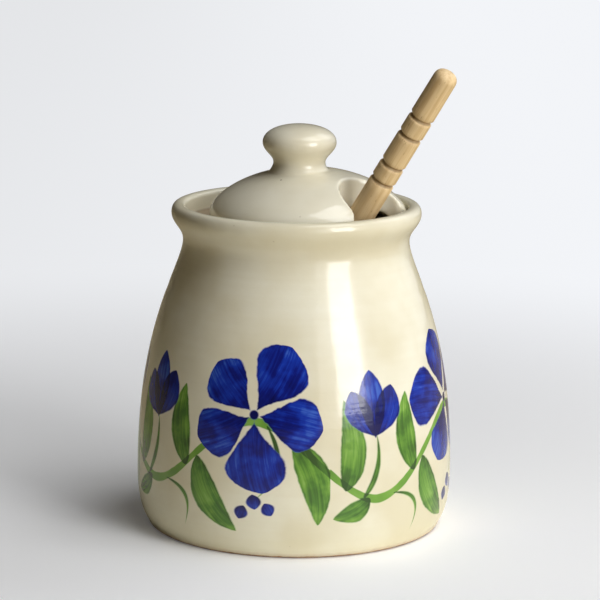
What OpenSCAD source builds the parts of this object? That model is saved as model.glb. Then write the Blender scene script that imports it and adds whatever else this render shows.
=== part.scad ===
// Stoneware honey pot with a drop-in lid and a turned wooden honey dipper.
// Millimetres, +Z up. The origin is the centre of the foot ring, on the table.

/* [Pot] */
// Radius of the foot ring at the table
foot_r = 44.8; // [42:0.1:46]
// Radius of the belly at its widest
belly_r = 48; // [46.5:0.1:50]
// Height of the widest part of the belly
belly_z = 17; // [15:0.5:20]
// Radius of the neck under the rim
neck_r = 34.3; // [34:0.1:36]
// Height of the neck above the table
neck_z = 87.3; // [86.5:0.1:88.5]
// Radius of the rolled rim
rim_r = 37.8; // [37.2:0.1:39]
// Height of the crest of the rim
rim_top = 98.4; // [97.6:0.1:100]
// Thickness of the thrown wall
wall = 4.6; // [4:0.1:5.5]
// Thickness of the floor
floor_t = 6.5; // [5:0.1:8]
// Radius of the shallow recess inside the foot ring
recess_r = 36; // [30:0.5:38]
// Depth of the recess
recess_depth = 1.6; // [1:0.1:2.5]

/* [Gallery] */
// Radius of the wall that the lid drops into
gallery_r = 33.7; // [33.3:0.1:34]
// Height of the ledge that the lid rests on
ledge_z = 92.3; // [91.5:0.1:93]
// Radius of the mouth inside the ledge
throat_r = 24.9; // [24:0.1:26]
// Thickness of the ledge at the mouth
ledge_t = 3.6; // [3:0.1:4.5]

/* [Lid] */
// Radius of the lid
lid_r = 29.9; // [29:0.1:30.6]
// Height of the dome above the ledge, without the knob
dome_h = 16.3; // [14.5:0.1:18]
// Width of the bare ring under the lid
seat_w = 4.6; // [4:0.1:6]
// How far the lid sits towards +X in its loose gallery, up to the gallery's wall
lid_shift = 3.5; // [0:0.1:4]
// Gap under the lid
lid_gap = 0.15; // [0.1:0.05:0.3]

/* [Knob] */
// Radius of the knob at its widest
knob_r = 11.2; // [10:0.1:12.5]
// Radius of the knob's waist
waist_r = 7.8; // [7:0.1:9]
// Height of the knob above the dome
knob_h = 13.8; // [12.5:0.1:16]
// How far the hand-set knob is from the middle of the lid
knob_shift = -2.8; // [-3:0.1:3]

/* [Notch] */
// Radius of the round notch for the dipper's handle
notch_r = 11.3; // [10:0.1:13]
// Distance of the notch's centre from the middle of the lid
notch_dist = 25.1; // [24:0.1:28]
// Direction of the notch, in degrees from +X
notch_turn = -36; // [-42:0.5:-32]
// Rounding of the notch's two corners at the edge of the lid
notch_round = 2.6; // [1.5:0.1:4.5]

/* [Dipper] */
// Length of the dipper
dipper_len = 158.6; // [150:0.1:170]
// Radius of the handle at its top end
handle_r = 3.6; // [3.2:0.1:4]
// Radius of the handle at its fullest, near the pot's mouth
swell_r = 4; // [3.8:0.1:4.3]
// Lean of the handle from upright
dipper_tilt = 33.4; // [31:0.1:34.5]
// Direction of the lean, in degrees from +X
dipper_turn = -35; // [-40:0.5:-32]
// Radius of the ribbed head at its fullest
head_r = 10.5; // [9:0.1:11.5]
// Number of ribs on the head
rib_count = 6; // [5:1:7]
// Distance from one rib to the next
rib_pitch = 6; // [5:0.1:6.5]
// Thickness of a rib
rib_t = 3.6; // [3:0.1:4]
// Radius of the core between the ribs
core_r = 4.6; // [4.2:0.1:5.5]
// Depth of the four grooves turned in the handle
groove_depth = 0.8; // [0.4:0.1:1]
// Room left between the dipper and the pot
dipper_gap = 0.3; // [0.2:0.05:0.5]

/* [Hidden] */
$fn = 96;

// Pot: curve handles, roundings and steps along the curves
foot_edge = 1.2;
foot_pull = 2;
belly_drop = 9.3;
shoulder_pull = 45.6;
neck_pull = 8.2;
rim_shoulder_z = rim_top - 2.8;
rim_crest_r = (rim_r + gallery_r) / 2 - 0.3;
gallery_fillet = 1.2;
ledge_edge = 1.4;
floor_fillet = 9;
inner_top_z = ledge_z - 10;
long_steps = 16;
short_steps = 6;

// Lid: heights of its seat and dome, and its roundings
lid_z = ledge_z + lid_gap;
lid_edge = 1.6;
lid_x = min(lid_shift, gallery_r - lid_r - 0.3);
dome_top = ledge_z + dome_h;
dome_side_z = ledge_z + 3.1;
dome_thick = 9.5;
knob_wide_z = dome_top + 8.3;
waist_z = dome_top + 2.3;
knob_top = dome_top + knob_h;

// Notch: where the roundings of its corners have their centres
corner_reach = lid_r - notch_round;
corner_gap = notch_r + notch_round;
corner_turn = acos(
    (corner_reach * corner_reach + notch_dist * notch_dist - corner_gap * corner_gap)
    / (2 * corner_reach * notch_dist)
);
cut_h = dome_h + 2;

// Dipper: groove places measured from the top end, and the line it leans along
groove_from_top = [16.7, 23.3, 34.2, 40.3];
groove_w = 1.6;
swell_z = dipper_len - 68;
cove_r = 3.7;
end_h = 2.9;
head_len = rib_count * rib_pitch;
tip_round = 1.2;
cove_len = 9;
tip_z = floor_t + dipper_gap + head_radius(0) * sin(dipper_tilt);
lean_z = ledge_z - ledge_edge;
lean_r = throat_r + ledge_edge - (swell_r + dipper_gap + ledge_edge) / cos(dipper_tilt);
tip_reach = lean_r - (lean_z - tip_z) * tan(dipper_tilt);

// Points along a cubic curve from a to d, without its first point
function curve(a, b, c, d, n) = [
    for (i = [1:n])
        let (t = i / n, s = 1 - t)
        s * s * s * a + 3 * s * s * t * b + 3 * s * t * t * c + t * t * t * d
];

// Points along an arc round [x, z] from angle a0 to a1
function arc(x, z, r, a0, a1, n) = [
    for (i = [0:n])
        let (a = a0 + (a1 - a0) * i / n)
        [x + r * cos(a), z + r * sin(a)]
];

function backwards(points) = [for (i = [len(points) - 1:-1:0]) points[i]];

// The shoulder's curve from belly to neck, moved in by a wall thickness
function shoulder(inset) = curve(
    [belly_r - inset, belly_z],
    [belly_r - inset, belly_z + shoulder_pull],
    [neck_r - inset, neck_z - neck_pull],
    [neck_r - inset, neck_z],
    long_steps
);

function pot_outside() = concat(
    [[0, recess_depth], [recess_r - recess_depth, recess_depth], [recess_r, 0]],
    arc(foot_r - foot_edge, foot_edge, foot_edge, -90, 0, 4),
    curve(
        [foot_r, foot_edge],
        [foot_r + foot_pull, foot_edge + 3],
        [belly_r, belly_z - belly_drop],
        [belly_r, belly_z],
        8
    ),
    shoulder(0),
    curve(
        [neck_r, neck_z],
        [neck_r, neck_z + 3.7],
        [rim_r, rim_shoulder_z - 3],
        [rim_r, rim_shoulder_z],
        short_steps
    ),
    curve(
        [rim_r, rim_shoulder_z],
        [rim_r, rim_top - 1.1],
        [rim_crest_r + 1.6, rim_top],
        [rim_crest_r, rim_top],
        short_steps
    ),
    curve(
        [rim_crest_r, rim_top],
        [rim_crest_r - 1, rim_top],
        [gallery_r, rim_top - 0.3],
        [gallery_r, rim_top - 1.5],
        short_steps
    )
);

function pot_inside() = concat(
    arc(gallery_r - gallery_fillet, ledge_z + gallery_fillet, gallery_fillet, 0, -90, 4),
    arc(throat_r + ledge_edge, ledge_z - ledge_edge, ledge_edge, 90, 180, 6),
    arc(throat_r + ledge_edge, ledge_z - ledge_t + ledge_edge / 2, ledge_edge, 180, 235, 4),
    backwards([for (p = shoulder(wall)) if (p[1] < inner_top_z) p]),
    arc(belly_r - wall - floor_fillet, floor_t + floor_fillet, floor_fillet, 0, -90, 6),
    [[0, floor_t]]
);

function lid_outline() = concat(
    [[lid_r - seat_w, lid_z]],
    arc(lid_r - lid_edge, lid_z + lid_edge, lid_edge, -90, 0, 5),
    [[lid_r, dome_side_z]],
    curve(
        [lid_r, dome_side_z],
        [lid_r, dome_side_z + 4.4],
        [lid_r * 0.7, dome_top - 2],
        [waist_r, dome_top],
        14
    ),
    [[0, dome_top], [0, dome_top - dome_thick]],
    curve(
        [0, dome_top - dome_thick],
        [lid_r * 0.55, dome_top - dome_thick - 1.4],
        [lid_r - seat_w, lid_z + 5.5],
        [lid_r - seat_w, lid_z],
        10
    )
);

function knob_outline() = concat(
    [[0, dome_top - 3], [waist_r + 2.4, dome_top - 1.8]],
    curve(
        [waist_r + 2.4, dome_top - 1.8],
        [waist_r + 0.8, dome_top],
        [waist_r, waist_z - 0.9],
        [waist_r, waist_z],
        5
    ),
    curve(
        [waist_r, waist_z],
        [waist_r, waist_z + 2],
        [knob_r, knob_wide_z - 2.6],
        [knob_r, knob_wide_z],
        8
    ),
    curve(
        [knob_r, knob_wide_z],
        [knob_r, knob_wide_z + 3.4],
        [knob_r * 0.57, knob_top],
        [0, knob_top],
        9
    )
);

// Radius of the head's egg-shaped envelope at a distance from the tip
function head_radius(s) = head_r * sqrt(1 - pow((2 * s - head_len) / (head_len + rib_pitch), 2));

// One rib, rounded at both edges, and the floor of the groove after it
function rib(i) =
    let (s = i * rib_pitch, e = tip_round)
    [
        [head_radius(s) - e, s],
        [head_radius(s + e / 2) - e / 4, s + e / 3],
        [head_radius(s + rib_t / 2), s + rib_t / 2],
        [head_radius(s + rib_t - e / 2) - e / 4, s + rib_t - e / 3],
        [head_radius(s + rib_t) - e, s + rib_t],
        [core_r, s + rib_t],
        [core_r, s + rib_pitch]
    ];

// Radius of the handle above its fullest part
function handle_radius(s) = swell_r + (handle_r - swell_r) * (s - swell_z) / (dipper_len - swell_z);

// One groove in the handle, at a height along the dipper
function groove(s) = [
    [handle_radius(s - groove_w / 2), s - groove_w / 2],
    [handle_radius(s) - groove_depth, s - groove_w / 4],
    [handle_radius(s) - groove_depth, s + groove_w / 4],
    [handle_radius(s + groove_w / 2), s + groove_w / 2]
];

function dipper_outline() = concat(
    [[0, 0]],
    [for (i = [0:rib_count - 1]) each rib(i)],
    curve(
        [core_r, head_len],
        [cove_r, head_len + cove_len / 2],
        [cove_r, head_len + cove_len / 2],
        [cove_r, head_len + cove_len],
        6
    ),
    [[swell_r, swell_z]],
    [for (d = backwards(groove_from_top)) each groove(dipper_len - d)],
    [[handle_radius(dipper_len - end_h), dipper_len - end_h]],
    curve(
        [handle_radius(dipper_len - end_h), dipper_len - end_h],
        [handle_r, dipper_len - end_h * 0.35],
        [handle_r * 0.72, dipper_len],
        [0, dipper_len],
        7
    )
);

module pot() {
    color("antiquewhite")
        rotate_extrude()
            polygon(concat(pot_outside(), pot_inside()));
}

module lid() {
    color("linen")
        translate([lid_x, 0, 0])
            difference() {
                union() {
                    rotate_extrude()
                        polygon(lid_outline());
                    translate([knob_shift, 0, 0])
                        rotate_extrude()
                            polygon(knob_outline());
                }
                rotate([0, 0, notch_turn])
                    translate([0, 0, lid_z - 1])
                        notch();
            }
}

// The space of the notch: a round hole that opens to the lid's edge past two rounded corners
module notch() {
    translate([notch_dist, 0, 0])
        cylinder(r = notch_r, h = cut_h);
    for (side = [-1, 1]) {
        c = [cos(corner_turn), side * sin(corner_turn)];
        difference() {
            linear_extrude(cut_h)
                polygon([[notch_dist, 0], c * corner_reach, c * (lid_r + 3), [lid_r + 5, 0]]);
            translate([c[0] * corner_reach, c[1] * corner_reach, -1])
                cylinder(r = notch_round, h = cut_h + 2);
        }
    }
}

module dipper() {
    color("burlywood")
        rotate([0, 0, dipper_turn])
            translate([tip_reach, 0, tip_z])
                rotate([0, dipper_tilt, 0])
                    rotate_extrude()
                        polygon(dipper_outline());
}

pot();
lid();
dipper();
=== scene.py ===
import bpy
import math
import numpy as np
from mathutils import Matrix


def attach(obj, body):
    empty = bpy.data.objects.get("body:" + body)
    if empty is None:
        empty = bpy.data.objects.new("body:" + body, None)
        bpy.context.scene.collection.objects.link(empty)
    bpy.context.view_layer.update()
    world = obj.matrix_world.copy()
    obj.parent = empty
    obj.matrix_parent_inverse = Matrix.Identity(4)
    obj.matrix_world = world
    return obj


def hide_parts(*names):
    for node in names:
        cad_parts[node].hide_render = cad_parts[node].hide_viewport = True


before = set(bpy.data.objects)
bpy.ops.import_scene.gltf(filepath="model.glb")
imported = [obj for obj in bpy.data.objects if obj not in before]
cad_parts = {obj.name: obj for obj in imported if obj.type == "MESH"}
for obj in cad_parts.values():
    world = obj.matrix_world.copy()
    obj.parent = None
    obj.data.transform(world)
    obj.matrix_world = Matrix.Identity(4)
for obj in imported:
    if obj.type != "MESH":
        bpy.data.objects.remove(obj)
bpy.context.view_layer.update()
print("frame loaded:", ", ".join(sorted(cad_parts)))

mm = 0.001  # sizes are in millimetres; the floor, lamps and camera are placed in metres
axisWidth = 1e-6  # an outline's point nearer the axis than this lies on it


# curves for the turned outlines, as lists of (radius, height)
def bend(a, b, c, d, steps):
    a, b, c, d = (np.array(p, float) for p in (a, b, c, d))
    out = []
    for t in np.linspace(0, 1, steps + 1)[1:]:
        s = 1 - t
        out.append(tuple(s * s * s * a + 3 * s * s * t * b + 3 * s * t * t * c + t * t * t * d))
    return out


def arc(r, z, size, fromDeg, toDeg, steps):
    turns = np.radians(np.linspace(fromDeg, toDeg, steps + 1))
    return [(r + size * math.cos(a), z + size * math.sin(a)) for a in turns]


def line(a, b, steps):
    shares = [i / steps for i in range(1, steps + 1)]
    return [(a[0] + (b[0] - a[0]) * t, a[1] + (b[1] - a[1]) * t) for t in shares]


# turns an outline round the Z axis; both ends of the outline lie on the axis
def lathe(name, outline, segments, marks=None):
    turn = np.arange(segments) * 2 * math.pi / segments
    points, rings, faces = [], [], []
    for r, z in outline:
        start = len(points)
        if r < axisWidth:
            points.append((0, 0, z * mm))
            rings.append([start] * segments)
            continue
        radius = r - (marks(r, z, turn) if marks else 0 * turn)
        ring = zip(radius * np.cos(turn), radius * np.sin(turn))
        points += [(x * mm, y * mm, z * mm) for x, y in ring]
        rings.append(list(range(start, start + segments)))
    for low, high in zip(rings, rings[1:]):
        for i in range(segments):
            j = (i + 1) % segments
            corners = [low[i], low[j], high[j], high[i]]
            faces.append([c for k, c in enumerate(corners) if c not in corners[:k]])
    mesh = bpy.data.meshes.new(name)
    mesh.from_pydata(points, [], faces)
    mesh.shade_smooth()
    return mesh


def addObject(name, mesh, place=Matrix.Identity(4)):
    made = bpy.data.objects.new(name, mesh)
    bpy.context.scene.collection.objects.link(made)
    made.matrix_world = place
    return made


# node helpers
def addNode(tree, kind, values=None, **settings):
    node = tree.nodes.new("ShaderNode" + kind)
    for key, value in settings.items():
        setattr(node, key, value)
    for key, value in (values or {}).items():
        if isinstance(value, bpy.types.NodeSocket):
            tree.links.new(value, node.inputs[key])
        else:
            node.inputs[key].default_value = value
    return node


def calc(tree, operation, *terms, clamp=False):
    return addNode(tree, "Math", dict(enumerate(terms)), operation=operation, use_clamp=clamp).outputs[0]


def plus(tree, a, b):
    return calc(tree, "ADD", a, b)


def minus(tree, a, b):
    return calc(tree, "SUBTRACT", a, b)


def times(tree, first, *others):
    for other in others:
        first = calc(tree, "MULTIPLY", first, other)
    return first


def vec(tree, operation, *terms):
    return addNode(tree, "VectorMath", dict(enumerate(terms)), operation=operation).outputs[0]


def apart(tree, a, b):
    return addNode(tree, "VectorMath", {0: a, 1: b}, operation="DISTANCE").outputs["Value"]


def rotate(tree, vector, angle, axis):
    return addNode(tree, "VectorRotate", {"Vector": vector, "Angle": angle}, rotation_type=axis).outputs[0]


def join(tree, x, y, z):
    return addNode(tree, "CombineXYZ", {0: x, 1: y, 2: z}).outputs[0]


def split(tree, vector):
    return addNode(tree, "SeparateXYZ", {0: vector}).outputs


def fromMiddle(tree, x, y):
    return calc(tree, "SQRT", plus(tree, times(tree, x, x), times(tree, y, y)))


def ease(tree, value, low, high, start=0.0, end=1.0):
    values = {0: value, 1: low, 2: high, 3: start, 4: end}
    return addNode(tree, "MapRange", values, interpolation_type="SMOOTHSTEP").outputs[0]


# the same from one down to nothing
def fade(tree, value, low, high):
    return ease(tree, value, low, high, 1.0, 0.0)


def mixColour(tree, factor, a, b):
    return addNode(tree, "Mix", {0: factor, 6: a, 7: b}, data_type="RGBA").outputs[2]


def mixValue(tree, factor, a, b):
    return addNode(tree, "Mix", {0: factor, 2: a, 3: b}, data_type="FLOAT").outputs[0]


def noise(tree, vector, scale, detail=2.0, rough=0.5):
    values = {"Vector": vector, "Scale": scale, "Detail": detail, "Roughness": rough}
    return addNode(tree, "TexNoise", values).outputs[0]


# noise about zero, for an edge that isn't quite straight
def ragged(tree, vector, scale, size, detail=3):
    return times(tree, minus(tree, noise(tree, vector, scale, detail), 0.5), size)


def chances(tree, number):
    return addNode(tree, "TexWhiteNoise", {"W": number}, noise_dimensions="1D").outputs


def ramp(tree, factor, stops):
    node = addNode(tree, "ValToRGB", {0: factor})
    while len(node.color_ramp.elements) < len(stops):
        node.color_ramp.elements.new(0.5)
    for element, (place, colour) in zip(node.color_ramp.elements, stops):
        element.position = place
        element.color = (*colour, 1)
    return node.outputs[0]


def bump(tree, height, strength, depth):
    values = {"Strength": strength, "Distance": depth * mm, "Height": height}
    return addNode(tree, "Bump", values).outputs[0]


def startGroup(name, takes, gives):
    group = bpy.data.node_groups.new(name, "ShaderNodeTree")
    for label, kind in takes:
        group.interface.new_socket(name=label, in_out="INPUT", socket_type="NodeSocket" + kind)
    for label, kind in gives:
        group.interface.new_socket(name=label, in_out="OUTPUT", socket_type="NodeSocket" + kind)
    return group, group.nodes.new("NodeGroupInput").outputs, group.nodes.new("NodeGroupOutput").inputs


def useGroup(tree, group, values):
    return addNode(tree, "Group", values, node_tree=group).outputs


# a new material, with the point on the piece in millimetres
def startMaterial(name):
    material = bpy.data.materials.new(name)
    material.use_nodes = True
    tree = material.node_tree
    shader = tree.nodes["Principled BSDF"]
    point = vec(tree, "MULTIPLY", addNode(tree, "TexCoord").outputs["Object"], (1 / mm, 1 / mm, 1 / mm))
    return material, tree, shader, point


def plug(tree, shader, **sockets):
    labels = {"colour": "Base Color", "roughness": "Roughness", "normal": "Normal"}
    for name, value in sockets.items():
        tree.links.new(value, shader.inputs[labels[name]])


# glaze: milky mottling, faint throwing lines, iron specks and a soft orange peel
glazeLook = {
    "cloudScale": 0.035, "cloudEdge": (0.36, 0.68), "mottleScale": 0.16, "mottleGrain": 0.6,
    "lineScale": 0.42, "lineWobble": 0.25, "mottleShade": 0.10, "lineShade": 0.12,
    "shadeEdge": (0.08, 0.17), "shadeStrength": 0.35,
    "speckScale": 0.17, "speckEdge": (0.03, 0.06), "speckShare": 0.16, "speckStrength": 0.22,
    "leastRough": 0.07, "mottleRough": 0.08, "peelScale": 0.45, "peelHeight": 0.5, "lineHeight": 0.6,
    "bumpStrength": 0.35, "bumpDepth": 0.2, "refraction": 1.5,
}


def glazeGroup():
    group, takes, gives = startGroup(
        "glazeCoat",
        [("Point", "Vector"), ("Base", "Color"), ("Thick", "Color"), ("Speck", "Color")],
        [("Colour", "Color"), ("Rough", "Float"), ("Height", "Float")],
    )
    look, point = glazeLook, takes["Point"]
    cloud = noise(group, point, look["cloudScale"], 3)
    mottle = noise(group, point, look["mottleScale"], 4, look["mottleGrain"])
    wobble = times(group, mottle, look["lineWobble"])
    height = times(group, split(group, point)[2], look["lineScale"])
    lines = noise(group, join(group, wobble, 0.0, height), 1.0, 3)
    colour = mixColour(group, ease(group, cloud, *look["cloudEdge"]), takes["Base"], takes["Thick"])
    shade = plus(group, times(group, mottle, look["mottleShade"]), times(group, lines, look["lineShade"]))
    shade = times(group, ease(group, shade, *look["shadeEdge"]), look["shadeStrength"])
    colour = mixColour(group, shade, colour, takes["Thick"])
    cells = addNode(group, "TexVoronoi", {"Vector": point, "Scale": look["speckScale"]}).outputs
    dot = fade(group, cells["Distance"], *look["speckEdge"])
    chosen = calc(group, "GREATER_THAN", split(group, cells["Color"])[0], 1 - look["speckShare"])
    colour = mixColour(group, times(group, dot, chosen, look["speckStrength"]), colour, takes["Speck"])
    rough = plus(group, times(group, mottle, look["mottleRough"]), look["leastRough"])
    peel = times(group, noise(group, point, look["peelScale"], 2), look["peelHeight"])
    group.links.new(colour, gives["Colour"])
    group.links.new(rough, gives["Rough"])
    group.links.new(plus(group, peel, times(group, lines, look["lineHeight"])), gives["Height"])
    return group


# bare fired clay where the glaze was wiped off
clayLook = {"gritScale": 1.6, "gritGrain": 0.7, "patchScale": 0.12, "darkEdge": (0.7, 1.3), "rough": 0.85}


def clayGroup():
    group, takes, gives = startGroup(
        "bareClay",
        [("Point", "Vector"), ("Pale", "Color"), ("Dark", "Color")],
        [("Colour", "Color"), ("Height", "Float")],
    )
    look, point = clayLook, takes["Point"]
    grit = noise(group, point, look["gritScale"], 4, look["gritGrain"])
    patch = noise(group, point, look["patchScale"], 2)
    dark = ease(group, plus(group, grit, patch), *look["darkEdge"])
    group.links.new(mixColour(group, dark, takes["Pale"], takes["Dark"]), gives["Colour"])
    group.links.new(grit, gives["Height"])
    return group


# one loaded brush stroke on the unrolled wall: pointed ends, a belly, bristle streaks and a darker edge
# four numbers are where a change starts and ends, and the colour's depth at those two places
strokeLook = {
    "bellyPower": 0.72, "endCut": 3.0, "shakeScale": 0.35, "shake": 0.09, "softEdge": (-0.25, 0.4),
    "bristleAlong": 0.05, "bristleAcross": 0.75, "bristleGrain": 0.65, "streak": (0.3, 0.72, 0.1, 0.48),
    "poolScale": 0.13, "pool": (0.36, 0.66, 0.0, 0.38), "edgeDepth": (0.0, 1.1, 0.2, 0.0),
    "startDepth": (0.0, 0.8, 0.3, 0.0), "seedStep": 7.3,
}


def strokeGroup():
    numbers = ("Turn", "Length", "Width", "Bend", "Fullness", "Seed")
    group, takes, gives = startGroup(
        "brushStroke",
        [("Point", "Vector"), ("Start", "Vector")] + [(label, "Float") for label in numbers],
        [("Mask", "Float"), ("Depth", "Float")],
    )
    look = strokeLook
    offset = vec(group, "SUBTRACT", takes["Point"], takes["Start"])
    turned = rotate(group, offset, times(group, takes["Turn"], -1.0), "Z_AXIS")
    along, across, _ = split(group, turned)
    share = calc(group, "DIVIDE", along, takes["Length"])
    inside = calc(group, "MULTIPLY", share, 1.0, clamp=True)
    sag = times(group, inside, minus(group, 1.0, inside), takes["Bend"], takes["Length"], 4.0)
    side = minus(group, across, sag)

    belly = calc(group, "SINE", times(group, calc(group, "POWER", inside, takes["Fullness"]), math.pi))
    belly = calc(group, "POWER", calc(group, "MAXIMUM", belly, 0.0), look["bellyPower"])
    half = times(group, belly, takes["Width"], 0.5)
    past = minus(group, calc(group, "ABSOLUTE", minus(group, share, 0.5)), 0.5)
    past = times(group, calc(group, "MAXIMUM", past, 0.0), takes["Length"], look["endCut"])
    seedPlace = join(group, 0.0, 0.0, times(group, takes["Seed"], look["seedStep"]))
    seeded = vec(group, "ADD", takes["Point"], seedPlace)
    shake = times(group, ragged(group, seeded, look["shakeScale"], look["shake"]), takes["Width"])
    edge = minus(group, minus(group, half, calc(group, "ABSOLUTE", side)), past)
    edge = plus(group, edge, shake)

    bristleX = times(group, along, look["bristleAlong"])
    bristleY = times(group, side, look["bristleAcross"])
    streak = noise(group, join(group, bristleX, bristleY, takes["Seed"]), 1.0, 3, look["bristleGrain"])
    depth = plus(group, ease(group, streak, *look["streak"]), ease(group, edge, *look["edgeDepth"]))
    depth = plus(group, depth, ease(group, noise(group, seeded, look["poolScale"], 3), *look["pool"]))
    depth = plus(group, depth, ease(group, inside, *look["startDepth"]))
    group.links.new(ease(group, edge, *look["softEdge"]), gives["Mask"])
    group.links.new(depth, gives["Depth"])
    return group


glazeCoat, bareClay, brushStroke = glazeGroup(), clayGroup(), strokeGroup()
print("finish groups made:", glazeCoat.name, bareClay.name, brushStroke.name)


# the thrown pot; a pull is how far a curve's handle reaches, an edge is where a change starts and ends
pot = {
    "foot": 44.8, "footRound": 1.2, "footPull": (2.0, 4.2), "recess": 36.0, "recessDepth": 1.6,
    "recessSlope": (-2.2, -1.0, -0.8, 0.4), "belly": 48.0, "bellyHeight": 17.0, "bellyPull": 9.3,
    "shoulderPull": 45.6, "neck": 34.3, "neckHeight": 87.3, "neckPull": 8.2, "neckFlare": 3.7,
    "rim": 37.8, "rimTop": 98.4, "rimDrop": 2.8, "rimFlare": 3.0, "rimPull": (1.6, 1.1), "crestShift": 0.3,
    "lipPull": (1.0, 0.3), "lipDepth": 1.5, "gallery": 33.7, "galleryRound": 1.2, "ledge": 92.3,
    "ledgeThick": 3.6, "throat": 24.9, "throatRound": 1.4, "wall": 4.6, "underLedge": 10.0,
    "floor": 6.5, "floorRound": 9.0, "segments": 224,
    "throwingPitch": 4.1, "throwingDepth": 0.02, "throwingFade": (0.31, 1.0, 0.117),
    "creaseHeight": 72.5, "creaseDepth": 0.09, "creaseWidth": 1.6, "creaseWave": (0.4, 0.6),
    "marksLow": (6.0, 8.0), "marksHigh": (84.0, 6.0), "marksInset": 0.5,  # a height and how far it fades
    "glaze": (0.80, 0.770, 0.635, 1), "glazeThick": (0.71, 0.655, 0.485, 1), "speck": (0.22, 0.13, 0.06, 1),
    "clayPale": (0.42, 0.25, 0.13, 1), "clayDark": (0.24, 0.12, 0.055, 1),
    # the seat's bare clay is darkened so that it also paints the shade in the gap beside the lid
    "seatClayAndShade": (0.30, 0.235, 0.15, 1), "raggedScale": 0.4, "ragged": 0.9,
    "footEdge": (0.35, 0.65), "thinEdge": (0.6, 1.8, 0.4, 0.0), "thinFrom": (0.0, 0.5),
    "seatLow": (-0.35, -0.15), "seatHigh": (0.9, 1.2), "seatInner": (0.8, 1.4), "seatOuter": 0.2,
}


def shoulderCurve(inset):
    belly, neck = pot["belly"] - inset, pot["neck"] - inset
    low, high = pot["bellyHeight"], pot["neckHeight"]
    pulls = (belly, low + pot["shoulderPull"]), (neck, high - pot["neckPull"])
    return bend((belly, low), *pulls, (neck, high), 110)


# from the middle of the underside, up the outside, over the rim and down the inside to the floor
def potOutline():
    p = pot
    foot, belly, rim, top = p["foot"], p["belly"], p["rim"], p["rimTop"]
    gallery, ledge, floor = p["gallery"], p["ledge"], p["floor"]
    wide = top - p["rimDrop"]
    crest = (rim + gallery) / 2 - p["crestShift"]
    slope = [p["recess"] + shift for shift in p["recessSlope"]]

    soft = p["footRound"]
    out = [(0, p["recessDepth"])]
    out += line(out[-1], (slope[0], p["recessDepth"]), 10)
    out += bend(out[-1], (slope[1], p["recessDepth"]), (slope[2], 0), (slope[3], 0), 6)
    out += line(out[-1], (foot - soft, 0), 4)
    out += arc(foot - soft, soft, soft, -80, 0, 6)
    flare = (foot + p["footPull"][0], p["footPull"][1])
    out += bend(out[-1], flare, (belly, p["bellyHeight"] - p["bellyPull"]), (belly, p["bellyHeight"]), 26)
    out += shoulderCurve(0)

    flare = (p["neck"], p["neckHeight"] + p["neckFlare"])
    out += bend(out[-1], flare, (rim, wide - p["rimFlare"]), (rim, wide), 18)
    out += bend(out[-1], (rim, top - p["rimPull"][1]), (crest + p["rimPull"][0], top), (crest, top), 12)
    lip = (gallery, top - p["lipDepth"])
    out += bend(out[-1], (crest - p["lipPull"][0], top), (gallery, top - p["lipPull"][1]), lip, 10)

    soft = p["galleryRound"]
    out += line(out[-1], (gallery, ledge + soft), 4)
    out += arc(gallery - soft, ledge + soft, soft, -10, -90, 6)
    soft = p["throatRound"]
    mouth = p["throat"] + soft
    out += line(out[-1], (mouth, ledge), 6)
    out += arc(mouth, ledge - soft, soft, 100, 180, 7)
    out += arc(mouth, ledge - p["ledgeThick"] + soft / 2, soft, 180, 235, 5)
    inner = [q for q in shoulderCurve(p["wall"]) if q[1] < ledge - p["underLedge"]][::-1]
    out += line(out[-1], inner[0], 6) + inner[1:]
    soft = p["floorRound"]
    out += arc(belly - p["wall"] - soft, floor + soft, soft, 0, -90, 12)
    return out + line(out[-1], (0, floor), 8)


# spiral throwing rings and the crease that a rib left below the shoulder, both pressed in
def throwingMarks(r, z, turn):
    p = pot
    if r < p["neck"] - p["marksInset"]:
        return 0 * turn
    rise = np.clip((z - p["marksLow"][0]) / p["marksLow"][1], 0, 1)
    fall = np.clip((p["marksHigh"][0] - z) / p["marksHigh"][1], 0, 1)
    spiral = z / p["throwingPitch"] - turn / (2 * math.pi)
    quick, start, slow = p["throwingFade"]
    strength = 0.5 + 0.5 * math.sin(quick * z + start) * math.sin(slow * z)
    rings = (0.5 + 0.5 * np.sin(2 * math.pi * spiral)) * strength * p["throwingDepth"]
    swing, lead = p["creaseWave"]
    away = (z - p["creaseHeight"] - swing * np.sin(turn + lead)) / p["creaseWidth"]
    return rise * fall * (rings + p["creaseDepth"] * np.exp(-away * away))


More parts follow.
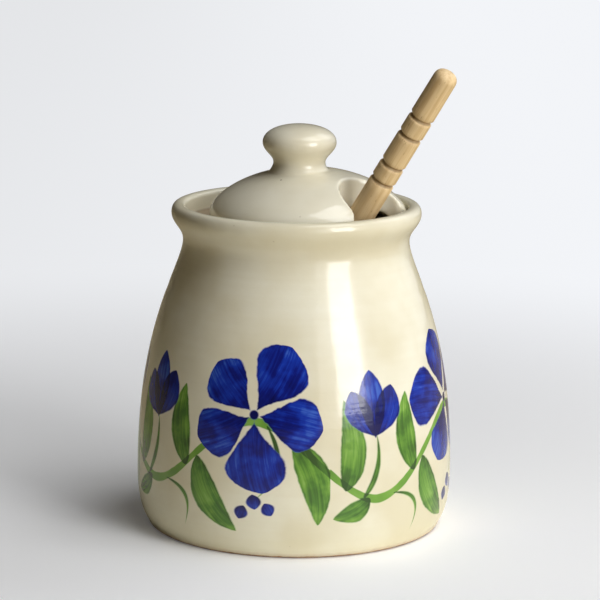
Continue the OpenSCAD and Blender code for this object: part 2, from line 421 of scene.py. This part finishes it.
# painted vine, one repeat: start (across, height), direction in degrees, length, width, bend, fullness
vine = {
    "repeats": 4, "turn": 32.0, "reference": 46.0, "lift": 4.0, "liftEdge": (36.0, 20.0),
    "stemMiddle": 30.0, "stemSwing": 11.0, "stemCrest": 14.0, "stemWidth": 0.75, "stemEdge": (-0.3, 0.1),
    "swellScale": 0.12, "swell": 1.3, "stemDepth": 0.55, "leafSeed": 3.0, "leafCover": 0.98,
    "leaves": [
        (-8, 25.5, 95, 24, 8.0, 0.08, 0.85), (-4, 29, -58, 25, 9.0, -0.12, 0.85),
        (26, 36, -75, 26, 9.5, 0.10, 0.85), (-24, 19, -150, 13, 6.0, 0.10, 0.85),
        (-31.5, 21, 91, 27, 8.0, -0.10, 0.8), (-26, 19.3, 78, 20, 2.0, -0.12, 0.6),
        (18, 40, -100, 23, 1.7, 0.22, 0.6), (-16, 20, -60, 15, 1.6, 0.35, 0.6),
    ],
    "flower": (14.0, 43.0), "petals": 5, "petalLength": 20.5, "petalWidth": 17.0, "petalStart": 1.6,
    "petalShrink": (0.95, 0.22), "petalBend": 0.12, "petalFullness": 1.7, "petalSeed": 9.0,
    "heart": (1.1, 1.7), "budSeed": 21.0,
    "buds": [
        (-22, 37.5, 66, 16, 9.0, -0.08, 1.3), (-22, 37.5, 120, 15, 8.5, 0.08, 1.3),
        (-22, 37.0, 93, 20, 9.0, 0.0, 1.2), (14, 19.5, -80, 4.6, 4.6, 0.0, 1.0),
        (17.5, 17, -60, 4.2, 4.2, 0.0, 1.0), (11.5, 16, -110, 4.4, 4.2, 0.0, 1.0),
    ],
    "blue": [
        (0.0, (0.06, 0.16, 0.58)), (0.35, (0.007, 0.035, 0.38)),
        (0.65, (0.003, 0.010, 0.19)), (1.0, (0.002, 0.004, 0.08)),
    ],
    "green": [
        (0.0, (0.36, 0.52, 0.14)), (0.35, (0.15, 0.34, 0.04)),
        (0.65, (0.06, 0.18, 0.02)), (1.0, (0.02, 0.07, 0.01)),
    ],
}


def paintStroke(tree, sheet, values, seed):
    x, z, turn, length, width, bow, full = values
    return useGroup(tree, brushStroke, {
        "Point": sheet, "Start": (x, z, 0), "Turn": math.radians(turn), "Length": length,
        "Width": width, "Bend": bow, "Fullness": full, "Seed": seed,
    })


# adds strokes into one (mask, depth) pair, darker where they overlap
def layStrokes(tree, strokes):
    mask, depth = None, None
    for stroke in strokes:
        load = times(tree, stroke["Mask"], stroke["Depth"])
        mask = stroke["Mask"] if mask is None else calc(tree, "MAXIMUM", mask, stroke["Mask"])
        depth = load if depth is None else plus(tree, depth, load)
    return mask, depth


# place round a circle in steps: which step, and how far from its middle as a share of the step
def wholeSteps(tree, angle, step):
    place = calc(tree, "DIVIDE", angle, step)
    index = calc(tree, "FLOOR", plus(tree, place, 0.5))
    return index, minus(tree, place, index)


# the wall laid flat, one repeat wide, each repeat a little higher or lower than the next
def unrolledWall(tree, point, repeatWidth):
    x, y, z = split(tree, point)
    angle = plus(tree, calc(tree, "ARCTAN2", x, times(tree, y, -1.0)), math.radians(vine["turn"]))
    index, share = wholeSteps(tree, angle, 2 * math.pi / vine["repeats"])
    across = times(tree, share, repeatWidth)
    number = calc(tree, "FLOORED_MODULO", index, float(vine["repeats"]))
    chance = split(tree, chances(tree, number)["Color"])
    lift = times(tree, minus(tree, chance[0], 0.5), vine["lift"])
    lift = times(tree, lift, ease(tree, calc(tree, "ABSOLUTE", across), *vine["liftEdge"]))
    return join(tree, across, minus(tree, z, lift), 0.0), number, chance[1]


def paintLeaves(tree, sheet, repeatWidth):
    across, height, _ = split(tree, sheet)
    wave = times(tree, minus(tree, across, vine["stemCrest"]), 2 * math.pi / repeatWidth)
    stem = plus(tree, times(tree, calc(tree, "COSINE", wave), vine["stemSwing"]), vine["stemMiddle"])
    gap = calc(tree, "ABSOLUTE", minus(tree, height, stem))
    swell = times(tree, noise(tree, sheet, vine["swellScale"], 2), vine["swell"])
    soft = [vine["stemWidth"] + shift for shift in vine["stemEdge"]]
    stemMask = fade(tree, minus(tree, gap, swell), *soft)
    strokes = [paintStroke(tree, sheet, v, vine["leafSeed"] + k) for k, v in enumerate(vine["leaves"])]
    mask, depth = layStrokes(tree, strokes)
    depth = plus(tree, depth, times(tree, stemMask, swell, vine["stemDepth"]))
    return calc(tree, "MAXIMUM", mask, stemMask), depth


# one petal stroke serves the whole flower, turned into each petal's own place
def paintFlowers(tree, sheet, number, spinChance):
    across, height, _ = split(tree, sheet)
    x, z = minus(tree, across, vine["flower"][0]), minus(tree, height, vine["flower"][1])
    step = 2 * math.pi / vine["petals"]
    spin = plus(tree, calc(tree, "ARCTAN2", z, x), times(tree, spinChance, step))
    petal, share = wholeSteps(tree, spin, step)
    local = times(tree, share, step)
    reach = fromMiddle(tree, x, z)
    petalName = calc(tree, "FLOORED_MODULO", petal, float(vine["petals"]))
    petalName = plus(tree, petalName, times(tree, number, vine["petalSeed"]))
    chance = chances(tree, petalName)["Value"]
    least, more = vine["petalShrink"]
    grown = times(tree, reach, plus(tree, times(tree, chance, more), least))
    petalX = times(tree, grown, calc(tree, "COSINE", local))
    petalY = times(tree, grown, calc(tree, "SINE", local))
    petalStroke = useGroup(tree, brushStroke, {
        "Point": join(tree, petalX, petalY, 0.0), "Start": (vine["petalStart"], 0, 0), "Turn": 0.0,
        "Length": vine["petalLength"], "Width": vine["petalWidth"], "Fullness": vine["petalFullness"],
        "Bend": times(tree, minus(tree, chance, 0.5), vine["petalBend"]), "Seed": petalName,
    })
    buds = [paintStroke(tree, sheet, v, vine["budSeed"] + k) for k, v in enumerate(vine["buds"])]
    mask, depth = layStrokes(tree, [petalStroke] + buds)
    heart = fade(tree, reach, *vine["heart"])
    return calc(tree, "MAXIMUM", mask, heart), plus(tree, depth, heart)


def paintVine(tree, point, colour):
    repeatWidth = 2 * math.pi / vine["repeats"] * vine["reference"]
    sheet, number, spinChance = unrolledWall(tree, point, repeatWidth)
    leafMask, leafDepth = paintLeaves(tree, sheet, repeatWidth)
    blueMask, blueDepth = paintFlowers(tree, sheet, number, spinChance)
    leafMask = times(tree, leafMask, vine["leafCover"])
    colour = mixColour(tree, leafMask, colour, ramp(tree, leafDepth, vine["green"]))
    return mixColour(tree, blueMask, colour, ramp(tree, blueDepth, vine["blue"]))


def potMaterial():
    material, tree, shader, point = startMaterial("potGlaze")
    p = pot
    x, y, z = split(tree, point)
    radius = fromMiddle(tree, x, y)
    glaze = useGroup(tree, glazeCoat, {
        "Point": point, "Base": p["glaze"], "Thick": p["glazeThick"], "Speck": p["speck"],
    })
    clay = useGroup(tree, bareClay, {"Point": point, "Pale": p["clayPale"], "Dark": p["clayDark"]})

    # glaze wiped off the foot and the ledge; the ledge's bare clay is dark enough to also paint the shade in
    # the gap beside the lid
    uneven = ragged(tree, point, p["raggedScale"], p["ragged"])
    unevenHeight = plus(tree, z, uneven)
    foot = fade(tree, unevenHeight, *p["footEdge"])
    above = minus(tree, z, p["ledge"])
    seat = times(tree, ease(tree, above, *p["seatLow"]), fade(tree, above, *p["seatHigh"]))
    inner = [p["throat"] + shift for shift in p["seatInner"]]
    seat = times(tree, seat, ease(tree, plus(tree, radius, uneven), *inner))
    outer = p["gallery"] - p["seatOuter"], p["gallery"] + p["seatOuter"]
    seat = times(tree, seat, fade(tree, radius, *outer))
    bare = calc(tree, "MAXIMUM", foot, seat)

    # painted only where the wall faces outwards
    facingX, facingY, _ = split(tree, addNode(tree, "TexCoord").outputs["Normal"])
    outward = plus(tree, times(tree, facingX, x), times(tree, facingY, y))
    outside = calc(tree, "GREATER_THAN", outward, 0.0)
    colour = mixColour(tree, outside, glaze["Colour"], paintVine(tree, point, glaze["Colour"]))
    thin = times(tree, ease(tree, unevenHeight, *p["thinEdge"]), ease(tree, z, *p["thinFrom"]))
    colour = mixColour(tree, thin, colour, p["clayPale"])
    colour = mixColour(tree, foot, colour, clay["Colour"])
    # real bare clay on the ledge, in a dark tone that is also painted shade beside the lid
    colour = mixColour(tree, seat, colour, p["seatClayAndShade"])

    rough = mixValue(tree, bare, glaze["Rough"], clayLook["rough"])
    height = mixValue(tree, bare, glaze["Height"], clay["Height"])
    normal = bump(tree, height, glazeLook["bumpStrength"], glazeLook["bumpDepth"])
    plug(tree, shader, colour=colour, roughness=rough, normal=normal)
    shader.inputs["IOR"].default_value = glazeLook["refraction"]
    return material


def putPiece(made, node, material):
    made.data.materials.append(material)
    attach(made, node)
    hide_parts(node)
    print(made.name, "has", len(made.data.polygons), "faces")


thrownPot = addObject("thrownPot", lathe("thrownPot", potOutline(), pot["segments"], throwingMarks))
putPiece(thrownPot, "pot", potMaterial())


# the drop-in lid: dome and knob joined, notch cut, then softened as the glaze does
lid = {
    "radius": 29.9, "shift": 3.5, "seat": 92.45, "seatWidth": 4.6, "edgeRound": 1.6,
    "innerPull": (0.55, 1.4, 5.5),
    "domeTop": 108.6, "domeSide": 95.4, "domeThick": 9.5, "sidePull": 4.4, "domePull": (0.7, 2.0),
    "knob": 11.2, "knobTop": 122.4, "knobWide": 116.9, "knobShift": -2.8, "knobPull": (2.6, 3.4, 0.57),
    "waist": 7.8, "waistHeight": 110.9, "waistPull": (0.8, 0.9, 2.0),
    "knobRoot": 3.0, "knobFoot": (2.4, 1.8),
    "notch": 11.3, "notchReach": 25.1, "notchTurn": -36.0, "notchRound": 2.6, "notchLow": 4.0,
    "notchHigh": 1.4, "notchPast": 1.3, "domeSegments": 192, "knobSegments": 128,
    "grain": 0.42, "softenShare": 0.5, "softenRounds": 12,
    "glaze": (0.79, 0.75, 0.61, 1), "glazeThick": (0.71, 0.655, 0.495, 1), "speck": (0.20, 0.12, 0.06, 1),
    "clayPale": (0.42, 0.25, 0.13, 1), "clayDark": (0.24, 0.12, 0.055, 1), "shine": 0.06,
    "glazePlace": (37, 11, 5), "raggedScale": 0.4, "ragged": 0.7, "bareEdge": (0.2, 0.45),
    "pinhole": (-8.2, -11.6), "pinholeEdge": (0.18, 0.39), "pinholeFrom": (96.0, 97.0), "pinholeDepth": 2.0,
}


# plan of the notch: a round end that runs into two rounded corners at the lid's edge
def notchPlan():
    notch, reach, soft = lid["notch"], lid["notchReach"], lid["notchRound"]
    edge, gap = lid["radius"] - soft, notch + soft
    turn = math.acos((edge ** 2 + reach ** 2 - gap ** 2) / (2 * edge * reach))
    x, y = edge * math.cos(turn), edge * math.sin(turn)
    toNotch = math.degrees(math.atan2(-y, reach - x))
    fromNotch = math.degrees(math.atan2(y, x - reach))
    plan = [(x * lid["notchPast"], y * lid["notchPast"])]
    plan += arc(x, y, soft, math.degrees(turn), toNotch, 16)
    plan += arc(reach, 0, notch, fromNotch, 180, 36)[1:]
    return plan + [(x, -y) for x, y in plan[::-1][1:]]


def prism(name, plan, low, high):
    count = len(plan)
    points = [(x * mm, y * mm, z * mm) for z in (low, high) for x, y in plan]
    faces = [[i, (i + 1) % count, count + (i + 1) % count, count + i] for i in range(count)]
    faces += [list(range(count))[::-1], list(range(count, 2 * count))]
    mesh = bpy.data.meshes.new(name)
    mesh.from_pydata(points, [], faces)
    return mesh


# from the middle of the hollow underside, out to the seat and up over the dome
def domeOutline():
    p = lid
    radius, seat, top, soft = p["radius"], p["seat"], p["domeTop"], p["edgeRound"]
    inner, hollow = radius - p["seatWidth"], top - p["domeThick"]
    share, drop, rise = p["innerPull"]
    out = [(0, hollow)]
    out += bend(out[0], (radius * share, hollow - drop), (inner, seat + rise), (inner, seat), 30)
    out += line(out[-1], (radius - soft, seat), 4)
    out += arc(radius - soft, seat + soft, soft, -80, 0, 8)
    out += line(out[-1], (radius, p["domeSide"]), 2)
    share, drop = p["domePull"]
    side = (radius, p["domeSide"] + p["sidePull"])
    out += bend(out[-1], side, (radius * share, top - drop), (p["waist"], top), 44)
    return out + line(out[-1], (0, top), 4)


def knobOutline():
    p = lid
    knob, wide, waist, waistZ, top = p["knob"], p["knobWide"], p["waist"], p["waistHeight"], p["domeTop"]
    spread, low, high = p["waistPull"]
    under, over, share = p["knobPull"]
    out = [(0, top - p["knobRoot"]), (waist + p["knobFoot"][0], top - p["knobFoot"][1])]
    out += bend(out[-1], (waist + spread, top), (waist, waistZ - low), (waist, waistZ), 10)
    out += bend(out[-1], (waist, waistZ + high), (knob, wide - under), (knob, wide), 20)
    return out + bend(out[-1], (knob, wide + over), (knob * share, p["knobTop"]), (0, p["knobTop"]), 30)


def lidMesh():
    p = lid
    turned = Matrix.Rotation(math.radians(p["notchTurn"]), 4, "Z")
    beside = Matrix.Translation((p["knobShift"] * mm, 0, 0))
    cutMesh = prism("lidCut", notchPlan(), p["seat"] - p["notchLow"], p["domeTop"] + p["notchHigh"])
    body = addObject("lidBody", lathe("lidBody", domeOutline(), p["domeSegments"]))
    knobPart = addObject("lidKnob", lathe("lidKnob", knobOutline(), p["knobSegments"]), beside)
    cutPart = addObject("lidCut", cutMesh, turned)
    for part, operation in ((knobPart, "UNION"), (cutPart, "DIFFERENCE")):
        step = body.modifiers.new(part.name, "BOOLEAN")
        step.object, step.operation, step.solver = part, operation, "EXACT"
    remesh = body.modifiers.new("remesh", "REMESH")
    remesh.mode, remesh.voxel_size, remesh.use_smooth_shade = "VOXEL", p["grain"] * mm, True
    smooth = body.modifiers.new("soften", "SMOOTH")
    smooth.factor, smooth.iterations = p["softenShare"], p["softenRounds"]
    depsgraph = bpy.context.evaluated_depsgraph_get()
    mesh = bpy.data.meshes.new_from_object(body.evaluated_get(depsgraph))
    for part in (body, knobPart, cutPart):
        bpy.data.objects.remove(part)
    mesh.shade_smooth()
    return mesh


def lidMaterial():
    material, tree, shader, point = startMaterial("lidGlaze")
    p = lid
    x, y, z = split(tree, point)
    glaze = useGroup(tree, glazeCoat, {
        "Point": vec(tree, "ADD", point, p["glazePlace"]),
        "Base": p["glaze"], "Thick": p["glazeThick"], "Speck": p["speck"],
    })
    clay = useGroup(tree, bareClay, {"Point": point, "Pale": p["clayPale"], "Dark": p["clayDark"]})
    unevenHeight = plus(tree, z, ragged(tree, point, p["raggedScale"], p["ragged"]))
    bare = fade(tree, unevenHeight, *[p["seat"] + shift for shift in p["bareEdge"]])
    away = apart(tree, join(tree, x, y, 0.0), (*p["pinhole"], 0))
    pit = times(tree, fade(tree, away, *p["pinholeEdge"]), ease(tree, z, *p["pinholeFrom"]))
    colour = mixColour(tree, pit, glaze["Colour"], p["speck"])
    colour = mixColour(tree, bare, colour, clay["Colour"])
    rough = mixValue(tree, bare, minus(tree, glaze["Rough"], p["shine"]), clayLook["rough"])
    height = mixValue(tree, bare, glaze["Height"], clay["Height"])
    height = minus(tree, height, times(tree, pit, p["pinholeDepth"]))
    normal = bump(tree, height, glazeLook["bumpStrength"], glazeLook["bumpDepth"])
    plug(tree, shader, colour=colour, roughness=rough, normal=normal)
    shader.inputs["IOR"].default_value = glazeLook["refraction"]
    return material


domedLid = addObject("domedLid", lidMesh(), Matrix.Translation((lid["shift"] * mm, 0, 0)))
putPiece(domedLid, "lid", lidMaterial())


# the turned honey dipper, made upright from its tip and then leaned into the pot
dipper = {
    "length": 158.6, "handle": 3.6, "swell": 4.0, "swellFromTop": 68.0, "endHeight": 2.9,
    "endPull": (0.35, 0.72),
    "tilt": 33.4, "turn": -35.0, "gap": 0.3, "segments": 72,
    "head": 10.5, "ribs": 6, "pitch": 6.0, "ribThick": 3.6, "ribRound": 0.9, "ribFlat": 1.2, "ribPull": 0.3,
    "core": 4.6, "coreRound": 0.6, "cove": 9.0, "coveEnd": 3.7,
    "grooves": (16.7, 23.3, 34.2, 40.3), "grooveDepth": 0.8, "grooveHalf": 0.96, "groovePower": 1.5,
    "wood": (0.77, 0.580, 0.325, 1), "latewood": (0.64, 0.445, 0.220, 1),
    "fleck": (0.36, 0.21, 0.09, 1), "burntAndShade": (0.17, 0.095, 0.04, 1),
    "swayScale": (0.12, 0.12, 0.02), "sway": 4.0, "pith": (11, 7, 0), "ringPitch": 2.6, "ringStrength": 0.10,
    "fibreScale": (1.5, 1.5, 0.045), "fibreGrain": 0.65, "hairScale": (5.0, 5.0, 0.12),
    "grainEdge": (0.36, 0.74), "hairEdge": (0.52, 0.7), "hairStrength": 0.4,
    "fleckScale": (1.5, 1.5, 0.32), "fleckEdge": (0.10, 0.2), "fleckShare": 0.55, "fleckStrength": 0.6,
    "handleFrom": (100.0, 102.0), "handleEnd": (12, 11), "grooveEdge": (0.12, 0.7), "burntStrength": 0.6,
    # painted shade in the hollows of the ribbed head: how far it reaches from the core, how dark, and where
    # it stops
    "ribShade": (0.3, 2.5), "ribDark": 0.5, "ribEnd": (34.0, 38.0),
    "hairHeight": 0.5, "fleckHeight": 0.6, "bumpStrength": 0.4, "bumpDepth": 0.15,
    "rough": (0.3, 0.7, 0.46, 0.6),
}


# half width of the ribbed head's egg-shaped outline, at a height above the tip
def headRadius(s):
    length = dipper["ribs"] * dipper["pitch"]
    return dipper["head"] * math.sqrt(1 - ((2 * s - length) / (length + dipper["pitch"])) ** 2)


def handleRadius(s):
    p = dipper
    share = (s - p["length"] + p["swellFromTop"]) / p["swellFromTop"]
    return p["swell"] + (p["handle"] - p["swell"]) * share


def ribOutline(low, start):
    p = dipper
    soft, flat, pull, core = p["ribRound"], p["ribFlat"], p["ribPull"], p["core"] + p["coreRound"]
    high = low + p["ribThick"]
    first, last = headRadius(low + soft), headRadius(high - soft)
    out = bend(start, (first - pull, low), (first, low + pull), (first, low + soft), 6)
    out += [(headRadius(s), s) for s in np.linspace(low + soft, high - soft, 5)[1:]]
    end = headRadius(high)
    out += bend(out[-1], (last, high - pull), (end - pull, high), (end - flat, high), 6)
    out += line(out[-1], (core, high), 3)
    return out + arc(core, high + p["coreRound"], p["coreRound"], 270, 180, 4)


def dipperOutline():
    p = dipper
    core, soft = p["core"] + p["coreRound"], p["coreRound"]
    out = [(0, 0.0)] + line((0, 0), (headRadius(0) - p["ribFlat"], 0), 6)
    for i in range(p["ribs"]):
        low = i * p["pitch"]
        if i:
            out += arc(core, low - soft, soft, 180, 90, 4)
            out += line((core, low), (headRadius(low) - p["ribFlat"], low), 3)
        out += ribOutline(low, out[-1])
    top = p["ribs"] * p["pitch"]
    coveEnd = (p["coveEnd"], top + p["cove"])
    out += bend(out[-1], (p["core"], top), (p["coveEnd"], top + p["cove"] / 2), coveEnd, 10)
    out += line(out[-1], (p["swell"], p["length"] - p["swellFromTop"]), 16)
    for fromTop in sorted(p["grooves"], reverse=True):
        middle, half = p["length"] - fromTop, p["grooveHalf"]
        out += line(out[-1], (handleRadius(middle - half), middle - half), 10)
        for t in np.linspace(-1, 1, 11)[1:]:
            s = middle + t * half
            cut = p["grooveDepth"] * math.cos(t * math.pi / 2) ** p["groovePower"] if abs(t) < 1 else 0
            out.append((handleRadius(s) - cut, s))
    end, tip = p["length"] - p["endHeight"], p["length"]
    rise, share = p["endPull"]
    out += line(out[-1], (handleRadius(end), end), 8)
    side = (p["handle"], tip - p["endHeight"] * rise)
    return out + bend(out[-1], side, (p["handle"] * share, tip), (0, tip), 14)


# the tip stands on the pot's floor and the handle leans on the rounded edge of the throat
def dipperPlace():
    p, soft = dipper, pot["throatRound"]
    lean = math.radians(p["tilt"])
    tip = pot["floor"] + p["gap"] + headRadius(0) * math.sin(lean)
    rest = pot["throat"] + soft - (p["swell"] + p["gap"] + soft) / math.cos(lean)
    reach = rest - (pot["ledge"] - soft - tip) * math.tan(lean)
    turned = Matrix.Rotation(math.radians(p["turn"]), 4, "Z")
    return turned @ Matrix.Translation((reach * mm, 0, tip * mm)) @ Matrix.Rotation(lean, 4, "Y")


# a point of the leaning dipper, back in its upright frame, so that the grain runs along it
def uprightPoint(tree, point):
    start = dipperPlace().translation / mm
    point = vec(tree, "SUBTRACT", point, tuple(start))
    for axis, degrees in (("Z_AXIS", -dipper["turn"]), ("Y_AXIS", -dipper["tilt"])):
        point = rotate(tree, point, math.radians(degrees), axis)
    return point


# scorch colour in the handle's grooves, and painted shade, paler, darkening the hollows of the ribbed head
def burntGroovesAndRibShade(tree, x, y, s):
    p = dipper
    radius = fromMiddle(tree, x, y)
    onHandle = ease(tree, s, *p["handleFrom"])
    below = fade(tree, s, *[p["length"] - d for d in p["handleEnd"]])
    slope = (p["handle"] - p["swell"]) / p["swellFromTop"]
    inset = minus(tree, plus(tree, times(tree, s, slope), handleRadius(0)), radius)
    groove = times(tree, ease(tree, inset, *p["grooveEdge"]), onHandle, below)
    deep = [p["core"] + shift for shift in p["ribShade"]]
    # painted shade: the head darkens towards its core in the hollows of the ribs
    paintedRibShade = times(tree, ease(tree, radius, *deep, p["ribDark"], 0.0), minus(tree, 1.0, onHandle))
    return times(tree, groove, p["burntStrength"]), times(tree, paintedRibShade, fade(tree, s, *p["ribEnd"]))


def dipperMaterial():
    material, tree, shader, point = startMaterial("dipperWood")
    p = dipper
    point = uprightPoint(tree, point)
    x, y, s = split(tree, point)
    sway = ragged(tree, vec(tree, "MULTIPLY", point, p["swayScale"]), 1.0, p["sway"], 2)
    fromPith = apart(tree, join(tree, x, y, 0.0), p["pith"])
    rings = calc(tree, "SINE", times(tree, plus(tree, fromPith, sway), p["ringPitch"]))
    fibre = noise(tree, vec(tree, "MULTIPLY", point, p["fibreScale"]), 1.0, 4, p["fibreGrain"])
    hair = noise(tree, vec(tree, "MULTIPLY", point, p["hairScale"]), 1.0, 2)
    grain = plus(tree, times(tree, rings, p["ringStrength"]), fibre)
    colour = mixColour(tree, ease(tree, grain, *p["grainEdge"]), p["wood"], p["latewood"])
    hairs = times(tree, ease(tree, hair, *p["hairEdge"]), p["hairStrength"])
    colour = mixColour(tree, hairs, colour, p["latewood"])
    fleckPoint = vec(tree, "MULTIPLY", point, p["fleckScale"])
    cells = addNode(tree, "TexVoronoi", {"Vector": fleckPoint, "Scale": 1.0}).outputs
    chosen = calc(tree, "GREATER_THAN", split(tree, cells["Color"])[1], 1 - p["fleckShare"])
    dash = times(tree, fade(tree, cells["Distance"], *p["fleckEdge"]), chosen)
    colour = mixColour(tree, times(tree, dash, p["fleckStrength"]), colour, p["fleck"])
    # the grooves' scorch, then the painted shade in the head's hollows, in the same dark brown
    for mask in burntGroovesAndRibShade(tree, x, y, s):
        colour = mixColour(tree, mask, colour, p["burntAndShade"])
    height = plus(tree, fibre, times(tree, hair, p["hairHeight"]))
    height = minus(tree, height, times(tree, dash, p["fleckHeight"]))
    normal = bump(tree, height, p["bumpStrength"], p["bumpDepth"])
    plug(tree, shader, colour=colour, roughness=ease(tree, fibre, *p["rough"]), normal=normal)
    return material


dipperMesh = lathe("honeyDipper", dipperOutline(), dipper["segments"])
dipperMesh.transform(dipperPlace())
honeyDipper = addObject("honeyDipper", dipperMesh)
putPiece(honeyDipper, "dipper", dipperMaterial())


# plain floor, soft studio light and the camera; edges on the floor are in millimetres
studio = {
    "floorSize": 9.0, "floor": (0.92, 0.92, 0.93, 1), "fibre": (0.8, 0.8, 0.8, 1), "fibreScale": 0.8,
    "fibreStrength": 0.04, "floorRough": 0.7, "floorShine": 0.2, "glow": 0.07,
    "bounceNear": (0.97, 0.925, 0.77, 1), "bounceFar": (0.52, 0.43, 0.27, 1), "bounceEdge": (80.0, 220.0),
    "farLeft": (0.78, 0.79, 0.81, 1), "farRight": (0.895, 0.91, 0.94, 1), "farEdge": (-260.0, 160.0),
    "paperEdge": (100.0, 420.0),
    "seen": (0.86, 0.88, 0.91, 1), "dimSide": (0.08, 0.066, 0.045, 1), "mirrorEdge": (0.0, 0.8),
    "ambient": (0.028, 0.023, 0.016, 1), "lampAim": 0.06,
    "lamps": [
        # name, azimuth to the camera's right, elevation, distance, width, height, watts, colour
        ("sideBox", 62, 62, 1.3, 0.85, 0.85, 9.0, (0.98, 0.99, 1.0)),
        ("frontBox", 43, 17, 1.2, 0.46, 0.70, 6.8, (1.0, 1.0, 1.0)),
        ("wideBox", 39, 9, 1.3, 0.95, 1.0, 5.3, (1.0, 1.0, 1.0)),
        ("backBox", 124, 42, 1.4, 0.8, 0.8, 3.6, (0.97, 0.985, 1.0)),
    ],
    "eye": (0.00134, -0.850, 0.2417), "tip": 78.478, "roll": 0.633, "lens": 171.1, "sensor": 36.0,
}


# lit paper near the pot, which keeps its shadow, running out into an even pale ground
def buildFloor():
    s = studio
    half = s["floorSize"]
    corners = [(-half, -half, 0), (half, -half, 0), (half, half, 0), (-half, half, 0)]
    mesh = bpy.data.meshes.new("studioFloor")
    mesh.from_pydata(corners, [], [(0, 1, 2, 3)])
    floor = addObject("studioFloor", mesh)
    material, tree, shader, point = startMaterial("studioPaper")
    cameraRay = addNode(tree, "LightPath").outputs["Is Camera Ray"]
    x, y, _ = split(tree, point)
    away = fromMiddle(tree, x, y)
    bounce = mixColour(tree, ease(tree, away, *s["bounceEdge"]), s["bounceNear"], s["bounceFar"])
    paper = mixColour(tree, cameraRay, bounce, s["floor"])
    fibre = times(tree, noise(tree, point, s["fibreScale"], 3), s["fibreStrength"])
    plug(tree, shader, colour=mixColour(tree, fibre, paper, s["fibre"]))
    shader.inputs["Roughness"].default_value = s["floorRough"]
    shader.inputs["Specular IOR Level"].default_value = s["floorShine"]
    ground = mixColour(tree, ease(tree, x, *s["farEdge"]), s["farLeft"], s["farRight"])
    strength = times(tree, cameraRay, s["glow"])
    glow = addNode(tree, "Emission", {"Color": ground, "Strength": strength}).outputs[0]
    near = addNode(tree, "AddShader", {0: shader.outputs[0], 1: glow}).outputs[0]
    far = addNode(tree, "Emission", {"Color": ground}).outputs[0]
    share = times(tree, cameraRay, ease(tree, away, *s["paperEdge"]))
    blend = addNode(tree, "MixShader", {0: share, 1: near, 2: far}).outputs[0]
    tree.links.new(blend, tree.nodes["Material Output"].inputs["Surface"])
    mesh.materials.append(material)


# pale to the camera, a little light all round, and mirrored in the glaze as a bright right and a dim left
def buildWorld():
    world = bpy.data.worlds.new("studio")
    bpy.context.scene.world = world
    world.use_nodes = True
    tree = world.node_tree
    path = addNode(tree, "LightPath").outputs
    seen = calc(tree, "MAXIMUM", path["Is Camera Ray"], path["Is Transmission Ray"])
    toRight = split(tree, addNode(tree, "TexCoord").outputs["Generated"])[0]
    mirrored = mixColour(tree, ease(tree, toRight, *studio["mirrorEdge"]), studio["dimSide"], studio["seen"])
    light = mixColour(tree, path["Is Glossy Ray"], studio["ambient"], mirrored)
    light = mixColour(tree, seen, light, studio["seen"])
    tree.links.new(light, tree.nodes["Background"].inputs["Color"])


def buildLamps():
    for name, azimuth, elevation, distance, width, height, watts, colour in studio["lamps"]:
        lamp = bpy.data.lights.new(name, "AREA")
        lamp.shape, lamp.size, lamp.size_y = "RECTANGLE", width, height
        lamp.energy, lamp.color = watts, colour
        holder = bpy.data.objects.new(name, lamp)
        bpy.context.scene.collection.objects.link(holder)
        side, tip = math.radians(azimuth), math.radians(90 - elevation)
        turn = Matrix.Rotation(side, 4, "Z") @ Matrix.Rotation(tip, 4, "X")
        aim = Matrix.Translation((0, 0, studio["lampAim"]))
        holder.matrix_world = aim @ turn @ Matrix.Translation((0, 0, distance))


def buildCamera():
    camera = bpy.data.cameras.new("camera")
    camera.lens, camera.sensor_width = studio["lens"], studio["sensor"]
    holder = bpy.data.objects.new("camera", camera)
    bpy.context.scene.collection.objects.link(holder)
    tip = Matrix.Rotation(math.radians(studio["tip"]), 4, "X")
    roll = Matrix.Rotation(math.radians(studio["roll"]), 4, "Z")
    holder.matrix_world = Matrix.Translation(studio["eye"]) @ tip @ roll
    bpy.context.scene.camera = holder


buildFloor()
buildWorld()
buildLamps()
buildCamera()
bpy.context.scene.view_settings.view_transform = "Standard"
print("studio ready")
